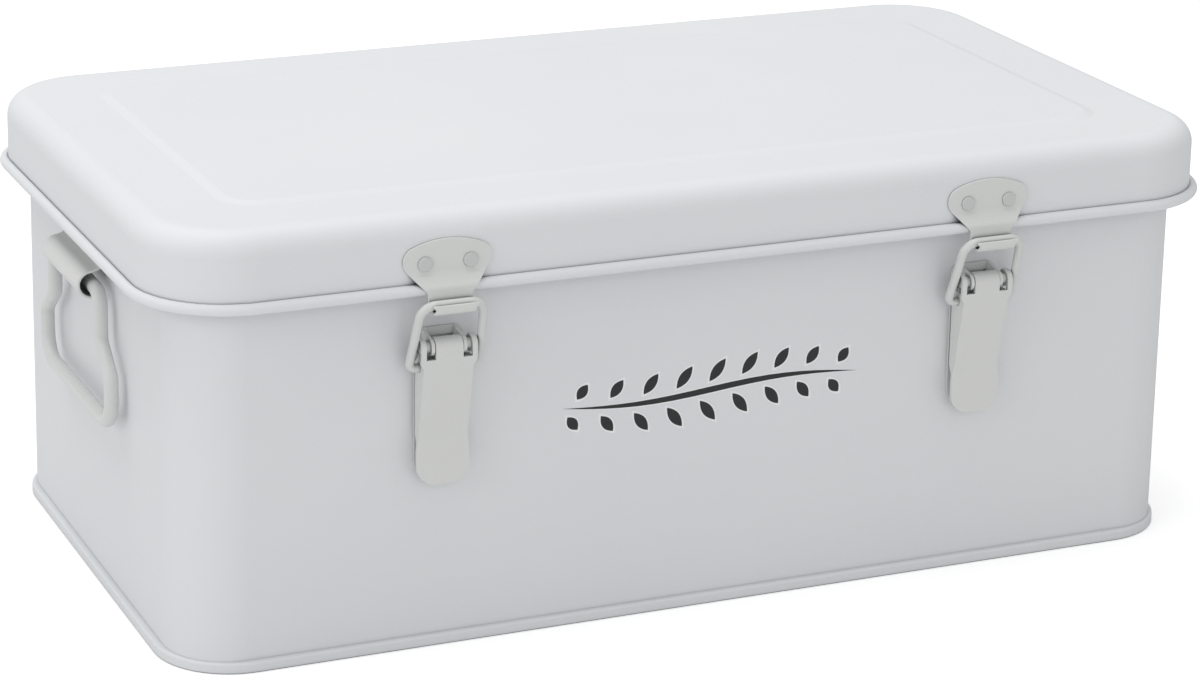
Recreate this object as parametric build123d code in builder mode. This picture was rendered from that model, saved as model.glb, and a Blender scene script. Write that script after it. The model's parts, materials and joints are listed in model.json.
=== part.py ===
from build123d import *
import os

# A sheet steel seed box: a wrapped wall seamed to its base, a pressed lid hinged at the
# back, two draw latches on the front, a drop handle on each end, and slotted dividers.
# X runs along the box, the latches face -Y, and the origin is under its middle.

# Box body, mm
wall_length = 330.0
wall_width = 176.0
wall_corner = 19.5
sheet = 0.8
rim_radius = 2.2
rim_height = 130.2
seam_reach = 2.2
seam_corner = 24.0
seam_height = 3.3
lock_seam_width = 6.0

# Lid
lid_overhang = 7.0
lid_corner = 28.0
lid_edge = 7.0
lid_border = 134.0
panel_length = 289.0
panel_width = 139.0
panel_corner = 12.0
panel_rise = 0.7
panel_slope = 3.0
bead_radius = 1.7
bead_height = 112.4

# Dividers
divider_sheet = 1.0
divider_height = 100.0
divider_pitch = 82.0
divider_gap = 1.0
slot_play = 0.2

# Latches: places are (out, z), the distance out from the front wall and the height
latch_spacing = 175.0
latch_pin_place = (7.25, 94.7)
latch_pin_radius = 1.6
foot_place = (5.2, 88.2)
bar_place = (12.2, 108.8)
loop_wire = 1.3
foot_half = 10.86
foot_end = 5.9
bar_half = 9.5
lever_sheet = 1.1
barrel_half = 4.2
cheek_start = 7.05
cheek_end = 8.6
flange_half = 7.6
tip_half = 8.1
lever_bottom = 51.9
base_sheet = 1.0
base_half = 7.4
base_length = 43.0
base_middle = 77.0
ear_start = 4.4
ear_radius = 2.6
plate_sheet = 0.9
plate_top = 126.9
neck_half = 6.8
neck_out = 10.15
hook_half = 6.0
hook_channel = 3.8
hook_height = 108.7
lip_height = 0.6

# Drop handles: places are out from the end wall and up
handle_place = (4.7, 98.3)
handle_wire = 2.2
curl_place = (5.6, 99.05)
curl_radius = 3.95
bracket_sheet = 0.8
bracket_length = 39.2
bail_top_half = 25.2
bail_low_half = 35.2
bail_low = 59.6
jog_top = 83.2
jog_low = 75.2

# Back hinges
hinge_spacing = 190.0
hinge_width = 36.0
hinge_place = (12.5, 106.5)
hinge_curl = 2.1
hinge_pin_radius = 1.5
hinge_sheet = 1.0
knuckle_gap = 0.3

# Rivets
rivet_shank = 1.3
rivet_head = 2.2
rivet_head_height = 0.7
rivet_crown = 0.4
rivet_tail = 1.9
rivet_tail_height = 0.5

play = 0.1
sides = {"left": -1, "right": 1}
front = Vector(0, -1, 0)
back = Vector(0, 1, 0)
up = Vector(0, 0, 1)

os.makedirs("parts", exist_ok=True)


def save(piece, name):
    piece.part.label = name
    export_step(piece.part, f"parts/{name}.step")


def face_plane(outward, along=0.0, out=0.0):
    """The plane of a wall, `out` outside it; local x runs level, local y runs up."""
    half = wall_width / 2 if outward.X == 0 else wall_length / 2
    level = up.cross(outward)
    return Plane(origin=outward * (half + out) + level * along, x_dir=level, z_dir=outward)


def section_plane(outward, along):
    """A plane square to a wall: local x is the distance out from it, local y is up."""
    half = wall_width / 2 if outward.X == 0 else wall_length / 2
    level = up.cross(outward)
    return Plane(origin=outward * half + level * along, x_dir=outward, z_dir=outward.cross(up))


def rounded_outline(offset, corner, height):
    """The closed line `offset` outside the wall's plan, at one height."""
    x = wall_length / 2 + offset
    y = wall_width / 2 + offset
    return [(x, y, height), (-x, y, height), (-x, -y, height), (x, -y, height)], corner


def rivets(outward, along, grip, places):
    """Rivets that clamp the layers between the two distances in grip."""
    inner, outer = grip
    with BuildPart() as group:
        with BuildSketch(face_plane(outward, along, inner)):
            with Locations(*places):
                Circle(rivet_shank)
        extrude(amount=outer - inner)
        with BuildSketch(face_plane(outward, along, inner - rivet_tail_height)):
            with Locations(*places):
                Circle(rivet_tail)
        extrude(amount=rivet_tail_height)
        with BuildSketch(face_plane(outward, along, outer)):
            with Locations(*places):
                Circle(rivet_head)
        extrude(amount=rivet_head_height)
        crowns = group.edges().filter_by(GeomType.CIRCLE).group_by(Axis((0, 0, 0), outward))
        fillet(crowns[-1], rivet_crown)
    return group


# Each riveted joint: its wall, its place along it, its grip and the rivets' places
catch_rivet_places = [(-6.95, 119.9), (6.95, 119.9)]
base_rivet_places = [(0.0, 79.0), (0.0, 62.0)]
lid_leaf_places = [(-12.0, 121.8), (12.0, 121.8)]
body_leaf_places = [(-12.0, 83.0), (12.0, 83.0)]
skirt_inside = lid_overhang - sheet


def drill(outward, along, places, inner, outer):
    """Rivet holes through the sheet between two distances out from the wall."""
    with BuildSketch(face_plane(outward, along, inner)) as holes:
        with Locations(*places):
            Circle(rivet_shank)
    extrude(holes.sketch, amount=outer - inner, mode=Mode.SUBTRACT)


# Wall: one sheet wrapped round, locked by a folded seam at the back, its rim curled out
with BuildPart() as body_wall:
    with BuildSketch(Plane.XY.offset(sheet)):
        RectangleRounded(wall_length, wall_width, wall_corner)
        RectangleRounded(wall_length - 2 * sheet, wall_width - 2 * sheet, wall_corner - sheet,
                         mode=Mode.SUBTRACT)
    extrude(amount=rim_height - sheet)
    with BuildLine() as rim_line:
        corners, radius = rounded_outline(rim_radius - sheet, wall_corner + rim_radius - sheet,
                                          rim_height)
        FilletPolyline(*corners, radius=radius, close=True)
    with BuildSketch(Plane(origin=rim_line.line @ 0, z_dir=rim_line.line % 0)):
        Circle(rim_radius)
        Circle(rim_radius - sheet, mode=Mode.SUBTRACT)
    sweep(path=rim_line.line)
    with BuildSketch(face_plane(back)):
        with Locations((0, (seam_height + rim_height - rim_radius) / 2)):
            Rectangle(lock_seam_width, rim_height - rim_radius - seam_height)
    extrude(amount=sheet)
    for sign in sides.values():
        drill(front, sign * latch_spacing / 2, base_rivet_places, -sheet, 0)
        drill(back, sign * hinge_spacing / 2, body_leaf_places, -sheet, 0)
save(body_wall, "body_wall")

# Base: a pan set up inside the wall and folded round its bottom edge as a double seam
with BuildPart() as base_pan:
    with BuildSketch():
        RectangleRounded(wall_length + 2 * seam_reach, wall_width + 2 * seam_reach, seam_corner)
    extrude(amount=seam_height)
    fillet(base_pan.edges().group_by(Axis.Z)[-1], 0.7)
    fillet(base_pan.edges().group_by(Axis.Z)[0], 0.5)
    with BuildSketch(Plane.XY.offset(sheet)):
        RectangleRounded(wall_length, wall_width, wall_corner)
        RectangleRounded(wall_length - 2 * sheet, wall_width - 2 * sheet, wall_corner - sheet,
                         mode=Mode.SUBTRACT)
    extrude(amount=seam_height, mode=Mode.SUBTRACT)
    with BuildSketch():
        RectangleRounded(wall_length - 4 * sheet, wall_width - 4 * sheet,
                         wall_corner - 2 * sheet)
    extrude(amount=seam_height - sheet, mode=Mode.SUBTRACT)
save(base_pan, "base_pan")

# Lid: pressed with a soft edge and a raised panel, then shelled; its skirt ends in a bead
with BuildPart() as lid_shell:
    with BuildSketch(Plane.XY.offset(bead_height)):
        RectangleRounded(wall_length + 2 * lid_overhang, wall_width + 2 * lid_overhang,
                         lid_corner)
    extrude(amount=lid_border - bead_height)
    fillet(lid_shell.edges().group_by(Axis.Z)[-1], lid_edge)
    with BuildSketch(Plane.XY.offset(lid_border)):
        RectangleRounded(panel_length, panel_width, panel_corner)
    with BuildSketch(Plane.XY.offset(lid_border + panel_rise)):
        RectangleRounded(panel_length - 2 * panel_slope, panel_width - 2 * panel_slope,
                         panel_corner - panel_slope)
    loft()
    offset(amount=-sheet, openings=lid_shell.faces().sort_by(Axis.Z)[0])
    with BuildLine() as bead_line:
        bead_out = lid_overhang - sheet + bead_radius
        corners, radius = rounded_outline(bead_out, lid_corner + bead_out - lid_overhang,
                                          bead_height)
        FilletPolyline(*corners, radius=radius, close=True)
    with BuildSketch(Plane(origin=bead_line.line @ 0, z_dir=bead_line.line % 0)):
        Circle(bead_radius)
    sweep(path=bead_line.line)
    for sign in sides.values():
        drill(front, sign * latch_spacing / 2, catch_rivet_places, skirt_inside, lid_overhang)
        drill(back, sign * hinge_spacing / 2, lid_leaf_places, skirt_inside, lid_overhang)
save(lid_shell, "lid_shell")

# Dividers: one long strip and three cross strips, half slotted into each other
floor_height = seam_height
slot_width = divider_sheet + slot_play
with BuildPart() as divider_long:
    with BuildSketch(Plane.XZ.offset(-divider_sheet / 2)) as strip:
        with Locations((0, floor_height + divider_height / 2)):
            Rectangle(wall_length - 2 * (sheet + divider_gap), divider_height)
        fillet(strip.vertices().group_by(Axis.Y)[-1], 8)
        for place in (-divider_pitch, 0, divider_pitch):
            with Locations((place, floor_height + divider_height * 3 / 4)):
                Rectangle(slot_width, divider_height / 2, mode=Mode.SUBTRACT)
    extrude(amount=divider_sheet)
save(divider_long, "divider_long")

for number, place in enumerate((-divider_pitch, 0, divider_pitch), 1):
    with BuildPart() as divider_cross:
        with BuildSketch(Plane.YZ.offset(place - divider_sheet / 2)) as strip:
            with Locations((0, floor_height + divider_height / 2)):
                Rectangle(wall_width - 2 * (sheet + divider_gap), divider_height)
            fillet(strip.vertices().group_by(Axis.Y)[-1], 8)
            with Locations((0, floor_height + divider_height / 4)):
                Rectangle(slot_width, divider_height / 2 + slot_play, mode=Mode.SUBTRACT)
        extrude(amount=divider_sheet)
    save(divider_cross, f"divider_cross_{number}")


def catch_plate(along):
    """Riveted to the lid: a broad head, a neck set out over the bead, and a hook."""
    half = 15.0
    skin = lid_overhang + plate_sheet / 2
    with BuildPart() as plate:
        with BuildSketch(section_plane(front, along - half)):
            with BuildLine():
                neck = FilletPolyline((skin, plate_top), (skin, 116.9), (neck_out, 113.3),
                                      (neck_out, hook_height), radius=2.0)
                radius = (hook_channel + plate_sheet) / 2
                hook = JernArc(neck @ 1, neck % 1, radius, 180)
                Line(hook @ 1, hook @ 1 + Vector(0, lip_height))
            trace(line_width=plate_sheet)
        extrude(amount=-2 * half)
        with BuildSketch(face_plane(front, along)) as outline:
            with BuildLine():
                crown = ThreePointArc((-16.3, 121.8), (0, plate_top), (16.3, 121.8))
                Polyline(crown @ 1, (neck_half, 111.6), (neck_half, bar_place[1]),
                         (hook_half, bar_place[1] - 0.8), (hook_half, 100), (-hook_half, 100),
                         (-hook_half, bar_place[1] - 0.8), (-neck_half, bar_place[1]),
                         (-neck_half, 111.6), crown @ 0)
            make_face()
            fillet(outline.vertices().sort_by(Axis.X)[0], 4.5)
            fillet(outline.vertices().sort_by(Axis.X)[-1], 4.5)
            fillet([v for v in outline.vertices() if abs(v.Y - 111.6) < 0.1], 2.5)
        extrude(amount=20, mode=Mode.INTERSECT)
        drill(front, along, catch_rivet_places, lid_overhang, lid_overhang + plate_sheet)
    return plate


def latch_base(along):
    """Riveted to the wall: a plate with two ears lanced out of it for the pin."""
    pin_out, pin_z = latch_pin_place
    with BuildPart() as base:
        with BuildSketch(face_plane(front, along)):
            with Locations((0, base_middle)):
                RectangleRounded(2 * base_half, base_length, 2.5)
            with Locations((0, 92.8)):
                Rectangle(2 * ear_start, 6.4, mode=Mode.SUBTRACT)
        extrude(amount=base_sheet)
        for start in (-ear_start - base_sheet, ear_start):
            with BuildSketch(section_plane(front, along + start)) as ear:
                with BuildLine():
                    Polyline((0.5, 88.8), (pin_out, pin_z - ear_radius),
                             (pin_out, pin_z + ear_radius), (2.0, 98.2), (0.5, 98.4), close=True)
                make_face()
                with Locations(latch_pin_place):
                    Circle(ear_radius)
                    Circle(latch_pin_radius, mode=Mode.SUBTRACT)
            extrude(ear.sketch, amount=-base_sheet)
        drill(front, along, base_rivet_places, 0, base_sheet)
    return base


def latch_lever(along):
    """Curled round the pin between the ears, with folded sides and a tip bent out."""
    pin_out, pin_z = latch_pin_place
    radius = latch_pin_radius + play + lever_sheet / 2
    face_out = pin_out + radius
    with BuildPart() as lever:
        with BuildSketch(section_plane(front, along - 10)):
            with BuildLine():
                FilletPolyline((5.2, lever_bottom - 1), (4.45, 65.5), (face_out, 92.0),
                               (face_out, pin_z), radius=(4.0, 3.0))
                JernArc((face_out, pin_z), (0, 1), radius, 265)
            trace(line_width=lever_sheet)
        extrude(amount=-20)
        with BuildSketch(face_plane(front, along)) as outline:
            with BuildLine():
                Polyline((cheek_end, 98), (cheek_end, 90.4), (flange_half, 88.6),
                         (flange_half, 67.0), (tip_half, 62.0), (tip_half, lever_bottom),
                         (-tip_half, lever_bottom), (-tip_half, 62.0), (-flange_half, 67.0),
                         (-flange_half, 88.6), (-cheek_end, 90.4), (-cheek_end, 98), close=True)
            make_face()
            fillet(outline.vertices().group_by(Axis.Y)[0], 5.8)
        extrude(amount=15, mode=Mode.INTERSECT)
        for start in (-flange_half, flange_half - lever_sheet):
            with BuildSketch(section_plane(front, along + start)) as flange:
                with BuildLine():
                    Polyline((9.1, 91.2), (4.2, 91.2), (2.0, 89.0), (2.0, 67.0), (4.2, 62.2),
                             (4.45, 65.5), (9.1, 90.5), close=True)
                make_face()
                with Locations(foot_place):
                    Circle(loop_wire + play, mode=Mode.SUBTRACT)
            extrude(flange.sketch, amount=-lever_sheet)
        for start in (-cheek_start, barrel_half):
            with BuildSketch(section_plane(front, along + start)) as slot:
                with Locations(latch_pin_place):
                    Circle(radius + lever_sheet / 2 + 0.4)
                with Locations((pin_out + 3, 95.6)):
                    Rectangle(6, 8)
            extrude(slot.sketch, amount=barrel_half - cheek_start, mode=Mode.SUBTRACT)
    return lever


def latch_loop(along):
    """A wire loop: feet turned into the lever's sides, its bar lying in the hook."""
    lean = Vector(0, -(bar_place[0] - foot_place[0]), bar_place[1] - foot_place[1])
    reach = lean.length
    plane = Plane(origin=(along, -wall_width / 2 - foot_place[0], foot_place[1]),
                  x_dir=(1, 0, 0), z_dir=Vector(1, 0, 0).cross(lean))
    with BuildPart() as loop:
        with BuildLine(plane) as wire:
            FilletPolyline((foot_end, 0), (foot_half, 0), (bar_half, reach), (-bar_half, reach),
                           (-foot_half, 0), (-foot_end, 0), radius=(2.0, 4.5, 4.5, 2.0))
        with BuildSketch(Plane(origin=wire.line @ 0, z_dir=wire.line % 0)):
            Circle(loop_wire)
        sweep(path=wire.line)
    return loop


def latch_pin(along):
    with BuildPart() as pin:
        with BuildSketch(section_plane(front, along - cheek_end)):
            with Locations(latch_pin_place):
                Circle(latch_pin_radius)
        extrude(amount=-2 * cheek_end)
        chamfer(pin.edges().filter_by(GeomType.CIRCLE), 0.3)
    return pin


for side, sign in sides.items():
    along = sign * latch_spacing / 2
    save(catch_plate(along), f"catch_plate_{side}")
    save(latch_base(along), f"latch_base_{side}")
    save(latch_lever(along), f"lever_{side}")
    save(latch_loop(along), f"loop_{side}")
    save(latch_pin(along), f"latch_pin_{side}")
    save(rivets(front, along, (skirt_inside, lid_overhang + plate_sheet), catch_rivet_places),
         f"catch_rivets_{side}")
    save(rivets(front, along, (-sheet, base_sheet), base_rivet_places), f"latch_rivets_{side}")


def handle_bracket(outward):
    """A strip spot welded to the end wall, swept out and curled round the handle."""
    out, height = curl_place
    skin = bracket_sheet / 2
    sweep_radius = 6.0
    join = sweep_radius + curl_radius
    top = height + (join**2 - (out - skin - sweep_radius) ** 2) ** 0.5
    centre = Vector(skin + sweep_radius, top)
    meet = centre + (Vector(out, height) - centre) * (sweep_radius / join)
    with BuildPart() as bracket:
        with BuildSketch(section_plane(outward, -bracket_length / 2)):
            with BuildLine():
                Line((skin, 118.0), (skin, top))
                bow = RadiusArc((skin, top), meet, -sweep_radius)
                JernArc(bow @ 1, bow % 1, curl_radius, -205)
            trace(line_width=bracket_sheet)
        extrude(amount=-bracket_length)
    return bracket


def handle_bail(outward):
    """A wire bail: narrow at the bracket, jogged out to a wide grip."""
    out, height = handle_place
    with BuildPart() as bail:
        with BuildLine(face_plane(outward, 0, out)) as wire:
            FilletPolyline((bail_top_half, height), (bail_top_half, jog_top),
                           (bail_low_half, jog_low), (bail_low_half, bail_low),
                           (-bail_low_half, bail_low), (-bail_low_half, jog_low),
                           (-bail_top_half, jog_top), (-bail_top_half, height),
                           radius=(5, 4, 4, 8, 8, 4, 4, 5), close=True)
        with BuildSketch(Plane(origin=wire.line @ 0, z_dir=wire.line % 0)):
            Circle(handle_wire)
        sweep(path=wire.line)
    return bail


for side, sign in sides.items():
    outward = Vector(sign, 0, 0)
    save(handle_bracket(outward), f"handle_bracket_{side}")
    save(handle_bail(outward), f"handle_{side}")


def knuckles(along, turn):
    """The stretches of a hinge's five knuckles that belong to one leaf."""
    pitch = hinge_width / 5
    first = along - hinge_width / 2
    return [(first + pitch * n, pitch) for n in range(5) if n % 2 == turn]


def lid_leaf(along):
    skin = lid_overhang + hinge_sheet / 2
    out, height = hinge_place
    with BuildPart() as leaf:
        with BuildSketch(section_plane(back, along - hinge_width / 2)):
            with BuildLine():
                FilletPolyline((skin, 125.4), (skin, 118.4), (out - hinge_curl, 115.0),
                               (out - hinge_curl, height), radius=2.0)
                JernArc((out - hinge_curl, height), (0, -1), hinge_curl, 300)
            trace(line_width=hinge_sheet)
        extrude(amount=-hinge_width)
        for start, width in knuckles(along, 0):
            with BuildSketch(section_plane(back, start - knuckle_gap / 2)):
                with Locations((out, height - 0.8)):
                    Rectangle(9, 8)
            extrude(amount=-width - knuckle_gap, mode=Mode.SUBTRACT)
        drill(back, along, lid_leaf_places, lid_overhang, lid_overhang + hinge_sheet)
    return leaf


def body_leaf(along):
    out, height = hinge_place
    lean = hinge_curl * 0.5**0.5
    touch = Vector(out + lean, height - lean)
    foot = hinge_sheet / 2
    with BuildPart() as leaf:
        with BuildSketch(section_plane(back, along - hinge_width / 2)):
            with BuildLine():
                FilletPolyline((foot, 76.0), (foot, touch.Y - touch.X + foot), touch, radius=3.0)
                JernArc(touch, (1, 1), hinge_curl, 290)
            trace(line_width=hinge_sheet)
        extrude(amount=-hinge_width)
        for start, width in knuckles(along, 1):
            with BuildSketch(section_plane(back, start - knuckle_gap / 2)):
                with Locations(hinge_place):
                    Circle(hinge_curl + hinge_sheet / 2 + 0.5)
            extrude(amount=-width - knuckle_gap, mode=Mode.SUBTRACT)
        drill(back, along, body_leaf_places, 0, hinge_sheet)
    return leaf


def hinge_pin(along):
    with BuildPart() as pin:
        with BuildSketch(section_plane(back, along - hinge_width / 2)):
            with Locations(hinge_place):
                Circle(hinge_pin_radius)
        extrude(amount=-hinge_width)
        chamfer(pin.edges().filter_by(GeomType.CIRCLE), 0.3)
    return pin


for side, sign in sides.items():
    along = sign * hinge_spacing / 2
    save(lid_leaf(along), f"hinge_lid_leaf_{side}")
    save(body_leaf(along), f"hinge_body_leaf_{side}")
    save(hinge_pin(along), f"hinge_pin_{side}")
    save(rivets(back, along, (skirt_inside, lid_overhang + hinge_sheet), lid_leaf_places),
         f"hinge_lid_rivets_{side}")
    save(rivets(back, along, (-sheet, hinge_sheet), body_leaf_places),
         f"hinge_body_rivets_{side}")
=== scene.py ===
import json
import math
import bpy
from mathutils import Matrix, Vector


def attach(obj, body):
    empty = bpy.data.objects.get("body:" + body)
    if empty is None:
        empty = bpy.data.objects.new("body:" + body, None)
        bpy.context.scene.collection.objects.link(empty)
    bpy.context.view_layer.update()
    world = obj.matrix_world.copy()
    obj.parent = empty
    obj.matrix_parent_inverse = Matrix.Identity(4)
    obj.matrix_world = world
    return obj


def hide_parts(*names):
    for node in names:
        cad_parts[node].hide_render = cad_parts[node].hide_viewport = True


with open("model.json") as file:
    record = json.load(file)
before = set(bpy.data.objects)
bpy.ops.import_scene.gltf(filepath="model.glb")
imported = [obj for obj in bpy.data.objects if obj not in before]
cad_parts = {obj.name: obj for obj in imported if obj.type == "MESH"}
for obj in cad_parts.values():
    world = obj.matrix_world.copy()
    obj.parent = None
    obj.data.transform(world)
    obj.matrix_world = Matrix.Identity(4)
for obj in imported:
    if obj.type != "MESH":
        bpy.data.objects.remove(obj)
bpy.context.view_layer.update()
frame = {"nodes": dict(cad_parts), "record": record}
scene = bpy.context.scene
bodyOf = {node: body for body, nodes in frame["record"]["behaviour"]["bodies"].items() for node in nodes}
slotOf = {part["node"]: part["material_slot"] for part in frame["record"]["subparts"]}
print("frame loaded,", len(frame["nodes"]), "CAD nodes")

# Camera: a long lens from the front left, a little above, shifted as the photograph is framed
camera = {
    "place": (-0.4446, -1.0072, 0.4318),
    "turn": (74.419, -0.771, -22.532),  # degrees
    "lens": 108.48,  # mm on a 36 mm sensor
    "shift": (0.0575, -0.1743),
}

cameraData = bpy.data.cameras.new("camera")
cameraData.lens = camera["lens"]
cameraData.shift_x, cameraData.shift_y = camera["shift"]
cameraObject = bpy.data.objects.new("camera", cameraData)
cameraObject.location = camera["place"]
cameraObject.rotation_euler = [math.radians(angle) for angle in camera["turn"]]
scene.collection.objects.link(cameraObject)
scene.camera = cameraObject
scene.view_settings.view_transform = "Standard"
print("camera placed")


def linear(hexColour):
    channels = [int(hexColour[i:i + 2], 16) / 255 for i in (1, 3, 5)]
    return tuple(c / 12.92 if c <= 0.04045 else ((c + 0.055) / 1.055) ** 2.4 for c in channels)


def addNode(tree, kind, values=None, links=None, **settings):
    node = tree.nodes.new(kind)
    for name, value in settings.items():
        setattr(node, name, value)
    for socket, value in (values or {}).items():
        node.inputs[socket].default_value = value
    for socket, source in (links or {}).items():
        tree.links.new(source, node.inputs[socket])
    return node


def newMaterial(name):
    material = bpy.data.materials.new(name)
    material.use_nodes = True
    material.node_tree.nodes.clear()
    return material, material.node_tree


# Powder coat: baked polyester over steel, satin, with the faint orange peel that it sets to.
# Narrow gaps between the sheets and round the rivets get painted shade: ambient occlusion darkens the coat
# colour there.
powderCoat = {
    "peelSize": 0.0022,  # metres between the swells of the orange peel
    "peelHeight": 0.00002,
    "grainSize": 0.0005,  # drawn coarser than the real 0.1 mm grain, so that it shows
    "grainHeight": 0.000005,
    "cloudSize": 0.09,  # slow change of tone over a panel
    "peelDetail": 1.0,
    "grainDetail": 2.0,
    "cloudDetail": 3.0,
    "paintedShadeReach": 0.0032,  # how far the painted shade of a gap reaches
    "paintedShadeOpen": (0.12, 0.62),  # occlusion from a closed gap to an open face
    "paintedShadeSamples": 8,
    # colour of the painted shade in narrow gaps and round rivets
    "paintedShadeColour": "#4C4F52",
}

coats = {  # colours, roughness from and to, specular level
    "powder_coated_steel": ("grey white powder coat on sheet steel", ("#DFE1E4", "#E4E6E8"),
                            (0.52, 0.62), 0.42),
    "painted_hardware": ("grey white enamel on stampings", ("#D7D9D7", "#DCDDDB"), (0.36, 0.48), 0.5),
    "painted_wire": ("grey white enamel on bent wire", ("#D3D5D3", "#D8DAD8"), (0.28, 0.40), 0.5),
    "painted_rivets": ("grey white enamel on rivet heads", ("#C6C9C8", "#CDCFCE"), (0.36, 0.48), 0.5),
    "coated_dividers": ("matt grey coat on dividers", ("#D3D5D8", "#D9DBDD"), (0.60, 0.72), 0.35),
}


def makeCoat(name, colours, roughness, specular):
    material, tree = newMaterial(name)
    surface = addNode(tree, "ShaderNodeTexCoord").outputs["Object"]

    def noise(pattern):
        return addNode(tree, "ShaderNodeTexNoise",
                       {"Scale": 1 / powderCoat[pattern + "Size"], "Detail": powderCoat[pattern + "Detail"]},
                       {"Vector": surface})

    clouds, peel, grain = noise("cloud"), noise("peel"), noise("grain")
    tone = addNode(tree, "ShaderNodeMix", {"A": (*linear(colours[0]), 1), "B": (*linear(colours[1]), 1)},
                   {"Factor": clouds.outputs["Fac"]}, data_type="RGBA")
    # painted shade: ambient occlusion mixes the coat colour towards the painted shade colour in gaps and
    # round rivets
    paintedShadeOcclusion = addNode(tree, "ShaderNodeAmbientOcclusion", {"Distance": powderCoat["paintedShadeReach"]},
                     samples=powderCoat["paintedShadeSamples"])
    paintedShadeOpenness = addNode(tree, "ShaderNodeMapRange",
                       {"From Min": powderCoat["paintedShadeOpen"][0], "From Max": powderCoat["paintedShadeOpen"][1]},
                       {"Value": paintedShadeOcclusion.outputs["AO"]})
    shaded = addNode(tree, "ShaderNodeMix", {"A": (*linear(powderCoat["paintedShadeColour"]), 1)},
                     {"Factor": paintedShadeOpenness.outputs["Result"], "B": tone.outputs["Result"]}, data_type="RGBA")
    rough = addNode(tree, "ShaderNodeMapRange", {"To Min": roughness[0], "To Max": roughness[1]},
                    {"Value": clouds.outputs["Fac"]})
    swell = addNode(tree, "ShaderNodeBump", {"Distance": powderCoat["peelHeight"], "Strength": 1.0},
                    {"Height": peel.outputs["Fac"]})
    fine = addNode(tree, "ShaderNodeBump", {"Distance": powderCoat["grainHeight"], "Strength": 1.0},
                   {"Height": grain.outputs["Fac"], "Normal": swell.outputs["Normal"]})
    shader = addNode(tree, "ShaderNodeBsdfPrincipled", {"IOR": 1.5, "Specular IOR Level": specular},
                     {"Base Color": shaded.outputs["Result"], "Roughness": rough.outputs["Result"],
                      "Normal": fine.outputs["Normal"]})
    addNode(tree, "ShaderNodeOutputMaterial", links={"Surface": shader.outputs["BSDF"]})
    return material


coatOf = {slot: makeCoat(*facts) for slot, facts in coats.items()}
for name, node in frame["nodes"].items():
    node.data.materials.clear()
    node.data.materials.append(coatOf[slotOf[name]])
print("coats mixed")


def takeUp(piece):
    bpy.ops.object.select_all(action="DESELECT")
    piece.select_set(True)
    bpy.context.view_layer.objects.active = piece


def applyAll(piece):
    takeUp(piece)
    for name in [modifier.name for modifier in piece.modifiers]:
        bpy.ops.object.modifier_apply(modifier=name)


# Stampings, wire and rivets: the coat rounds every sheared edge, so each is its solid with soft edges
softEdges = {
    "merge": 0.000001,
    "flat": 0.4,  # degrees, below which two facets are one face
    "sharp": 32.0,  # degrees, from which an edge is rounded
    "segments": 2,
    "smooth": 42.0,
    "radius": {"lever": 0.00042, "catch_plate": 0.0003, "handle_bracket": 0.00022,
               "loop": 0.0002, "handle": 0.0002, "hinge_lid_leaf": 0.0002, "hinge_body_leaf": 0.0002,
               "catch_rivets": 0.00015, "latch_rivets": 0.00015, "hinge_lid_rivets": 0.00015,
               "hinge_body_rivets": 0.00015, "latch_pin": 0.00025, "hinge_pin": 0.0002},
}


def softCopy(nodeName, radius):
    piece = bpy.data.objects.new(nodeName + "_coated", frame["nodes"][nodeName].data.copy())
    scene.collection.objects.link(piece)
    takeUp(piece)
    bpy.ops.object.mode_set(mode="EDIT")
    bpy.ops.mesh.select_all(action="SELECT")
    bpy.ops.mesh.remove_doubles(threshold=softEdges["merge"])
    bpy.ops.mesh.dissolve_limited(angle_limit=math.radians(softEdges["flat"]))
    bpy.ops.object.mode_set(mode="OBJECT")
    edge = piece.modifiers.new("edge", "BEVEL")
    edge.width = radius
    edge.segments = softEdges["segments"]
    edge.limit_method = "ANGLE"
    edge.angle_limit = math.radians(softEdges["sharp"])
    edge.use_clamp_overlap = True
    applyAll(piece)
    bpy.ops.object.shade_smooth_by_angle(angle=math.radians(softEdges["smooth"]))
    even = piece.modifiers.new("even", "WEIGHTED_NORMAL")
    even.keep_sharp = True
    applyAll(piece)
    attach(piece, bodyOf[nodeName])
    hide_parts(nodeName)


for kind, radius in softEdges["radius"].items():
    for side in ("left", "right"):
        softCopy(f"{kind}_{side}", radius)
    print("soft edges:", kind)

# Print on the front wall: a plain leafy sprig, screen printed in dark ink with a white keyline
sprig = {
    "middle": (0.0005, 0.068),  # x and z of its middle on the front wall
    "stemLength": 0.1,
    "stemWidth": 0.0014,
    "stemRise": 0.0016,
    "pairs": 9,
    "leafLength": (0.0075, 0.0105),
    "leafWidth": 0.0042,
    "leafLean": 52.0,  # degrees from the stem
    "leafGap": 0.0012,
    "leafSpread": 0.86,  # share of the stem that carries leaves
    "leafShift": (0.0015, -0.003),  # upper and lower leaves are staggered, and all set back
    "ring": 0.1,  # inset of the unit disc, which becomes the keyline
    "tipTrim": 2.5,  # keylines cut off each tip of the ink
    "keyline": 0.00042,
    "inkHeight": 0.00006,
    "steps": 48,
}

# Screen ink: opaque and even, a touch glossier than the coat under it, with pinholes too fine to see
inks = {
    "ink": ("dark screen ink", ("#17191B", "#202325")),
    "keyline": ("white screen ink", ("#F2F3F3", "#ECEDEE")),
}
inkFilm = {"mottleSize": 0.0012, "mottleDetail": 3.0, "roughness": (0.38, 0.5)}


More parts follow.
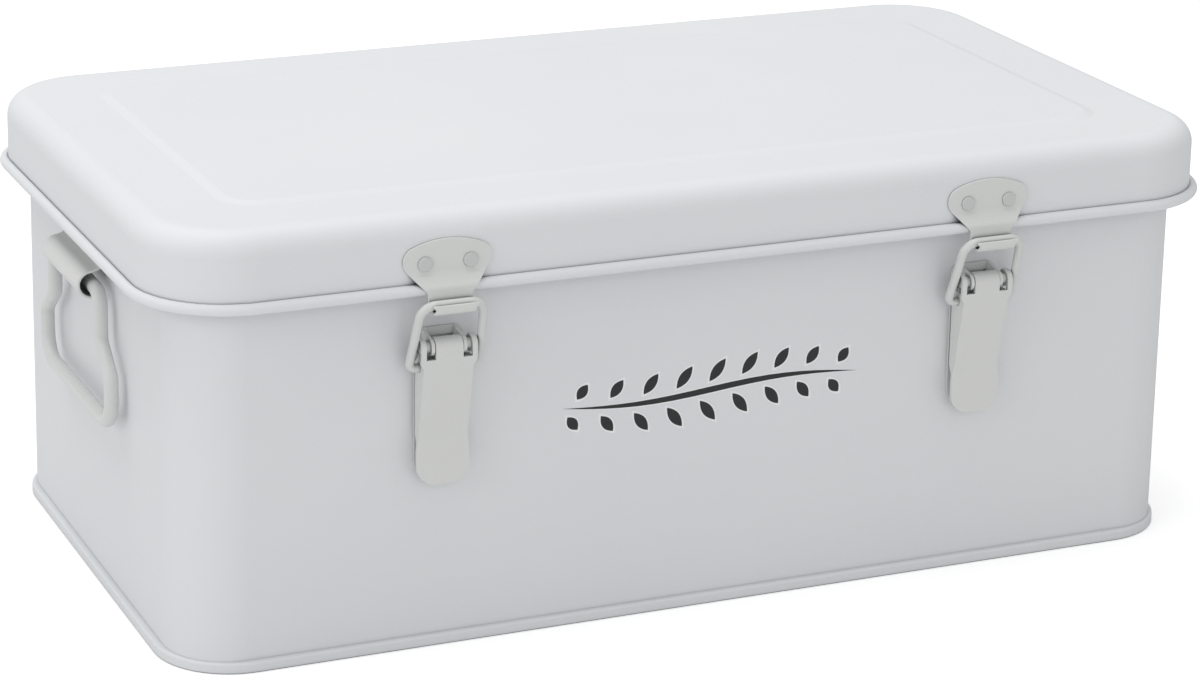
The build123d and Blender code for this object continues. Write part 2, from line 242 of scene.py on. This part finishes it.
def makeInk(name, colours):
    material, tree = newMaterial(name)
    surface = addNode(tree, "ShaderNodeTexCoord").outputs["Object"]
    mottle = addNode(tree, "ShaderNodeTexNoise",
                     {"Scale": 1 / inkFilm["mottleSize"], "Detail": inkFilm["mottleDetail"]},
                     {"Vector": surface})
    tone = addNode(tree, "ShaderNodeMix", {"A": (*linear(colours[0]), 1), "B": (*linear(colours[1]), 1)},
                   {"Factor": mottle.outputs["Fac"]}, data_type="RGBA")
    rough = addNode(tree, "ShaderNodeMapRange",
                    {"To Min": inkFilm["roughness"][0], "To Max": inkFilm["roughness"][1]},
                    {"Value": mottle.outputs["Fac"]})
    shader = addNode(tree, "ShaderNodeBsdfPrincipled", {"IOR": 1.5},
                     {"Base Color": tone.outputs["Result"], "Roughness": rough.outputs["Result"]})
    addNode(tree, "ShaderNodeOutputMaterial", links={"Surface": shader.outputs["BSDF"]})
    return material


inkOf = {part: makeInk(*facts) for part, facts in inks.items()}
wallFace = -0.088  # the flat of the front wall


def stemRise(x):
    return sprig["stemRise"] * math.sin(2 * math.pi * x / sprig["stemLength"])


def addLens(half, bulge):
    # a disc is inset and drawn out to a pointed shape: its outer ring is keyline, its inside ink
    bpy.ops.object.select_all(action="DESELECT")
    bpy.ops.mesh.primitive_circle_add(vertices=sprig["steps"], radius=1.0, fill_type="NGON")
    lens = bpy.context.object
    lens.data.materials.append(inkOf["ink"])
    lens.data.materials.append(inkOf["keyline"])
    bpy.ops.object.mode_set(mode="EDIT")
    bpy.ops.mesh.select_all(action="SELECT")
    bpy.ops.mesh.inset(thickness=sprig["ring"])
    bpy.ops.object.mode_set(mode="OBJECT")
    for face in lens.data.polygons:
        face.material_index = 1 if len(face.vertices) == 4 else 0
    for vertex in lens.data.vertices:
        reach = math.hypot(vertex.co.x, vertex.co.y)
        along, across = vertex.co.x / reach, vertex.co.y / reach
        trim = sprig["keyline"] if reach < 1 - sprig["ring"] / 2 else 0
        vertex.co = ((half - sprig["tipTrim"] * trim) * along, (bulge - trim) * across * abs(across), 0)
    return lens


def placeOnWall(piece, x, z, lean):
    piece.rotation_euler = (math.radians(90), -lean, 0)
    piece.location = (x, wallFace, z)
    takeUp(piece)
    bpy.ops.object.transform_apply(location=True, rotation=True, scale=True)
    return piece


def addLeaf(along, side, length):
    leaf = addLens(length / 2, sprig["leafWidth"] / 2)
    for vertex in leaf.data.vertices:
        vertex.co.x += length / 2
    gap = sprig["stemWidth"] / 2 + sprig["leafGap"]
    return placeOnWall(leaf, sprig["middle"][0] + along, sprig["middle"][1] + stemRise(along) + side * gap,
                       math.radians(sprig["leafLean"]) * side)


def addStem():
    stem = placeOnWall(addLens(sprig["stemLength"] / 2, sprig["stemWidth"]), *sprig["middle"], 0.0)
    for vertex in stem.data.vertices:
        vertex.co.z += stemRise(vertex.co.x - sprig["middle"][0])
    return stem


printed = [addStem()]
shortest, longest = sprig["leafLength"]
for i in range(sprig["pairs"]):
    share = i / (sprig["pairs"] - 1)
    along = (share - 0.5) * sprig["stemLength"] * sprig["leafSpread"]
    size = shortest + (longest - shortest) * math.sin(math.pi * share)
    for side in (1, -1):
        printed.append(addLeaf(along + side * sprig["leafShift"][0] + sprig["leafShift"][1], side, size))
bpy.ops.object.select_all(action="DESELECT")
for piece in printed:
    piece.select_set(True)
bpy.context.view_layer.objects.active = printed[0]
bpy.ops.object.join()
leafPrint = printed[0]
leafPrint.name = "leaf_print"
film = leafPrint.modifiers.new("film", "SOLIDIFY")
film.thickness = sprig["inkHeight"]
film.offset = 1.0
applyAll(leafPrint)
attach(leafPrint, "box")
print("print on the front wall")

# Floor, white sky and soft lamps
studio = {
    "floorSize": 12.0,
    "floorColour": 0.8,
    "floorGlow": 0.45,
    "skyStrength": 0.55,
    "lamps": (  # name, place, size, power
        ("overhead", (-0.3, 0.3, 1.9), 1.6, 18.4),
        ("left", (-2.0, -0.6, 0.9), 1.2, 6.6),
        ("front", (-0.2, -2.4, 0.9), 1.4, 6.8),
    ),
    "aim": (0.0, 0.0, 0.07),
}

bpy.ops.object.select_all(action="DESELECT")
bpy.ops.mesh.primitive_plane_add(size=studio["floorSize"])
floor = bpy.context.object
floor.name = "floor"
material, tree = newMaterial("white studio floor")
path = addNode(tree, "ShaderNodeLightPath")
matt = addNode(tree, "ShaderNodeBsdfDiffuse", {"Color": (*[studio["floorColour"]] * 3, 1)})
glow = addNode(tree, "ShaderNodeEmission", {"Color": (1, 1, 1, 1), "Strength": studio["floorGlow"]})
lit = addNode(tree, "ShaderNodeAddShader")
tree.links.new(matt.outputs[0], lit.inputs[0])
tree.links.new(glow.outputs[0], lit.inputs[1])
either = addNode(tree, "ShaderNodeMixShader", links={"Fac": path.outputs["Is Camera Ray"]})
tree.links.new(matt.outputs[0], either.inputs[1])
tree.links.new(lit.outputs[0], either.inputs[2])
addNode(tree, "ShaderNodeOutputMaterial", links={"Surface": either.outputs[0]})
floor.data.materials.append(material)

world = bpy.data.worlds.new("white studio")
scene.world = world
world.use_nodes = True
tree = world.node_tree
tree.nodes.clear()
path = addNode(tree, "ShaderNodeLightPath")
soft = addNode(tree, "ShaderNodeBackground", {"Color": (1, 1, 1, 1), "Strength": studio["skyStrength"]})
white = addNode(tree, "ShaderNodeBackground", {"Color": (1, 1, 1, 1), "Strength": 1.0})
either = addNode(tree, "ShaderNodeMixShader", links={"Fac": path.outputs["Is Camera Ray"]})
tree.links.new(soft.outputs[0], either.inputs[1])
tree.links.new(white.outputs[0], either.inputs[2])
addNode(tree, "ShaderNodeOutputWorld", links={"Surface": either.outputs[0]})

for name, spot, size, power in studio["lamps"]:
    lamp = bpy.data.lights.new(name, "AREA")
    lamp.size = size
    lamp.energy = power
    lampObject = bpy.data.objects.new(name, lamp)
    lampObject.location = spot
    away = Vector(spot) - Vector(studio["aim"])
    lampObject.rotation_euler = away.to_track_quat("Z", "Y").to_euler()
    scene.collection.objects.link(lampObject)
print("studio lit")
